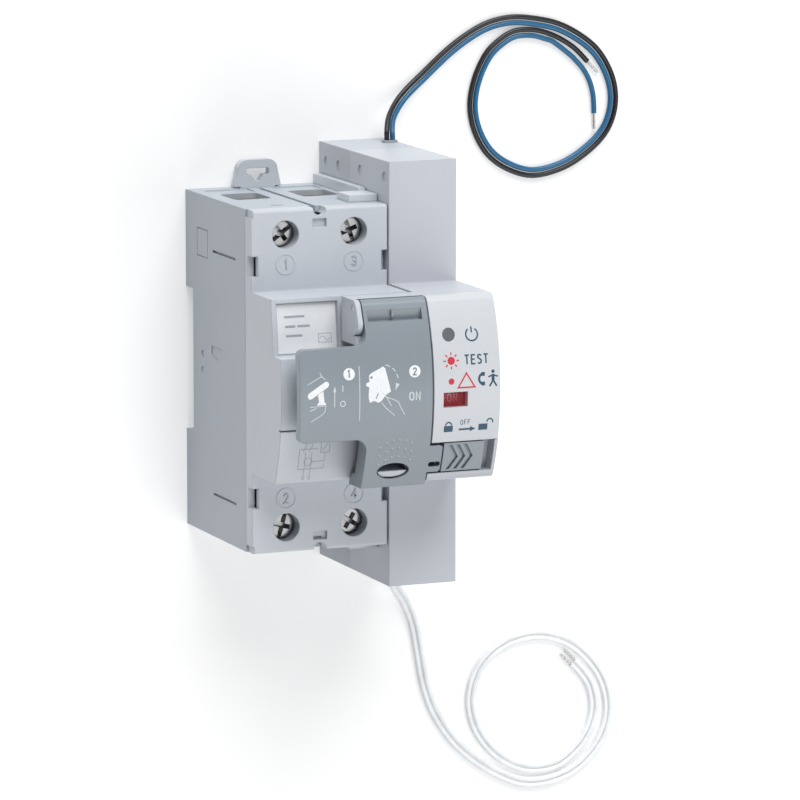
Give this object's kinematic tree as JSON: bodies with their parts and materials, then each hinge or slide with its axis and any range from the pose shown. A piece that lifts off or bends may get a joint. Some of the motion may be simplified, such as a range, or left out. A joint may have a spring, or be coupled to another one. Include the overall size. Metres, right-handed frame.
{
  "type": "residual current device",
  "caption": "DIN-rail residual current circuit breaker joined to an automatic reclosing unit, with a hinged front flap, toggle, screw terminals and loose signal wires",
  "frame": {"origin": "centre of the device's footprint, wires left out, on the plane of its rear faces", "axes": "+Z out of the device's front, +Y towards its top end when mounted, +X towards the reclosing unit's side"},
  "size_m": [0.1153, 0.1972, 0.0731],
  "materials": {
    "breaker_base": "fine satin",
    "breaker_front": "fine satin",
    "clear_window": "polished clear",
    "printed_card": "smooth",
    "dark_moulding": "satin",
    "toggle_grey": "satin",
    "button_grey": "satin",
    "clip_grey": "satin",
    "steel_pin": "drawn",
    "screw_steel": "zinc plated",
    "cage_metal": "yellow passivated",
    "copper": "bright rolled",
    "spring_bronze": "bright",
    "enamelled_copper": "enamelled",
    "core_coating": "satin",
    "resistor_body": "gloss",
    "relay_case": "gloss",
    "steel_plate": "rolled",
    "strip_grey": "satin",
    "unit_rear": "fine satin",
    "unit_front": "fine satin",
    "panel_white": "satin",
    "flap_grey": "satin",
    "slider_grey": "satin",
    "lens_grey": "polished",
    "led_body": "gloss",
    "circuit_board": "solder resist",
    "red_window": "tinted",
    "flag_red": "satin",
    "gear_plastic": "satin",
    "motor_can": "drawn",
    "pinion_brass": "turned",
    "component_black": "satin",
    "bushing_grey": "satin",
    "wire_black": "smooth",
    "wire_blue": "smooth",
    "wire_white": "smooth",
    "bare_copper": "stranded"
  },
  "bodies": {
    "housing": {"base_housing": "breaker_base", "front_cover": "breaker_front", "label_window": "clear_window", "label_card": "printed_card", "toggle_axle": "steel_pin", "test_contact_spring": "spring_bronze", "test_resistor": "resistor_body", "line_contact_bars": "copper", "load_conductors": "copper", "carrier_axle": "steel_pin", "toroid_core": "core_coating", "secondary_winding": "enamelled_copper", "trip_relay": "relay_case", "arc_plates": "steel_plate", "cover_pins": "steel_pin", "joining_strips": "strip_grey", "unit_rear_housing": "unit_rear", "unit_front_housing": "unit_front", "indicator_panel": "panel_white", "flap_pin": "steel_pin", "led_lens": "lens_grey", "status_led": "led_body", "display_board": "circuit_board", "flag_window": "red_window", "gear_axles": "steel_pin", "motor": "motor_can", "power_board": "circuit_board", "board_components": "component_black", "housing_screws": "screw_steel", "wire_bushings": "bushing_grey", "black_wire": "wire_black", "blue_wire": "wire_blue", "white_wire_a": "wire_white", "white_wire_b": "wire_white", "bare_wire_ends": "bare_copper"},
    "toggle": {"toggle_handle": "toggle_grey", "drive_link": "steel_pin", "drive_sector": "gear_plastic", "position_flag": "flag_red"},
    "carrier": {"contact_carrier": "dark_moulding", "moving_contacts": "copper"},
    "slow_gear": {"reduction_gear_2": "gear_plastic"},
    "fast_gear": {"reduction_gear_1": "gear_plastic"},
    "rotor": {"motor_pinion": "pinion_brass"},
    "flap": {"flap": "flap_grey"},
    "slider": {"lock_slider": "slider_grey"},
    "button": {"test_button": "button_grey"},
    "upper_clip": {"upper_rail_clip": "clip_grey"},
    "lower_clip": {"lower_rail_clip": "clip_grey"},
    "plunger": {"relay_plunger": "steel_pin"},
    "screw_1": {"terminal_screw_1": "screw_steel"},
    "cage_1": {"clamp_cage_1": "cage_metal"},
    "screw_2": {"terminal_screw_2": "screw_steel"},
    "cage_2": {"clamp_cage_2": "cage_metal"},
    "screw_3": {"terminal_screw_3": "screw_steel"},
    "cage_3": {"clamp_cage_3": "cage_metal"},
    "screw_4": {"terminal_screw_4": "screw_steel"},
    "cage_4": {"clamp_cage_4": "cage_metal"}
  },
  "joints": [
    {"name": "toggle_turn", "type": "hinge", "parent": "housing", "child": "toggle", "pos_m": [0, 0, 0.052], "axis": [1, 0, 0], "range_deg": [0, 44]},
    {"name": "carrier_turn", "type": "hinge", "parent": "housing", "child": "carrier", "pos_m": [0, 0, 0.025], "axis": [1, 0, 0], "range_deg": [-36.1, 0]},
    {"name": "slow_gear_turn", "type": "hinge", "parent": "housing", "child": "slow_gear", "pos_m": [0, -0.0096, 0.03537], "axis": [1, 0, 0], "range_deg": [-157.2, 0]},
    {"name": "fast_gear_turn", "type": "hinge", "parent": "housing", "child": "fast_gear", "pos_m": [0, -0.02312, 0.03175], "axis": [1, 0, 0], "range_deg": [0, 471.5]},
    {"name": "rotor_turn", "type": "hinge", "parent": "housing", "child": "rotor", "pos_m": [0, -0.03548, 0.03067], "axis": [1, 0, 0], "range_deg": [-1616.4, 0]},
    {"name": "flap_open", "type": "hinge", "parent": "housing", "child": "flap", "pos_m": [0.009, 0.0202, 0.06684], "axis": [-1, 0, 0], "range_deg": [0, 110]},
    {"name": "lock_slide", "type": "slide", "parent": "housing", "child": "slider", "axis": [1, 0, 0], "range_m": [0, 0.0022]},
    {"name": "test_press", "type": "slide", "parent": "housing", "child": "button", "axis": [0, 0, -1], "range_m": [0, 0.0015], "stiffness_N_per_m": 200, "springref_m": -0.0005},
    {"name": "upper_clip_slide", "type": "slide", "parent": "housing", "child": "upper_clip", "axis": [0, 1, 0], "range_m": [0, 0.004]},
    {"name": "lower_clip_slide", "type": "slide", "parent": "housing", "child": "lower_clip", "axis": [0, -1, 0], "range_m": [0, 0.004]},
    {"name": "plunger_slide", "type": "slide", "parent": "housing", "child": "plunger", "axis": [0, -1, 0], "range_m": [0, 0.0015]},
    {"name": "screw_1_turn", "type": "hinge", "parent": "housing", "child": "screw_1", "pos_m": [-0.0175, 0.0354, 0.038], "axis": [0, 0, -1], "range_deg": [0, 3601]},
    {"name": "cage_1_lift", "type": "slide", "parent": "housing", "child": "cage_1", "axis": [0, 0, 1], "range_m": [0, 0.008]},
    {"name": "screw_2_turn", "type": "hinge", "parent": "housing", "child": "screw_2", "pos_m": [-0.0175, -0.0354, 0.038], "axis": [0, 0, -1], "range_deg": [0, 3601]},
    {"name": "cage_2_lift", "type": "slide", "parent": "housing", "child": "cage_2", "axis": [0, 0, 1], "range_m": [0, 0.008]},
    {"name": "screw_3_turn", "type": "hinge", "parent": "housing", "child": "screw_3", "pos_m": [0, 0.0354, 0.038], "axis": [0, 0, -1], "range_deg": [0, 3601]},
    {"name": "cage_3_lift", "type": "slide", "parent": "housing", "child": "cage_3", "axis": [0, 0, 1], "range_m": [0, 0.008]},
    {"name": "screw_4_turn", "type": "hinge", "parent": "housing", "child": "screw_4", "pos_m": [0, -0.0354, 0.038], "axis": [0, 0, -1], "range_deg": [0, 3601]},
    {"name": "cage_4_lift", "type": "slide", "parent": "housing", "child": "cage_4", "axis": [0, 0, 1], "range_m": [0, 0.008]}
  ],
  "couplings": [
    {"joint": "carrier_turn", "follows": "toggle_turn", "ratio": -0.82},
    {"joint": "slow_gear_turn", "follows": "toggle_turn", "ratio": -3.5714},
    {"joint": "fast_gear_turn", "follows": "toggle_turn", "ratio": 10.714},
    {"joint": "rotor_turn", "follows": "toggle_turn", "ratio": -36.735},
    {"joint": "screw_1_turn", "follows": "cage_1_lift", "rad_per_m": 7854},
    {"joint": "screw_2_turn", "follows": "cage_2_lift", "rad_per_m": 7854},
    {"joint": "screw_3_turn", "follows": "cage_3_lift", "rad_per_m": 7854},
    {"joint": "screw_4_turn", "follows": "cage_4_lift", "rad_per_m": 7854}
  ]
}
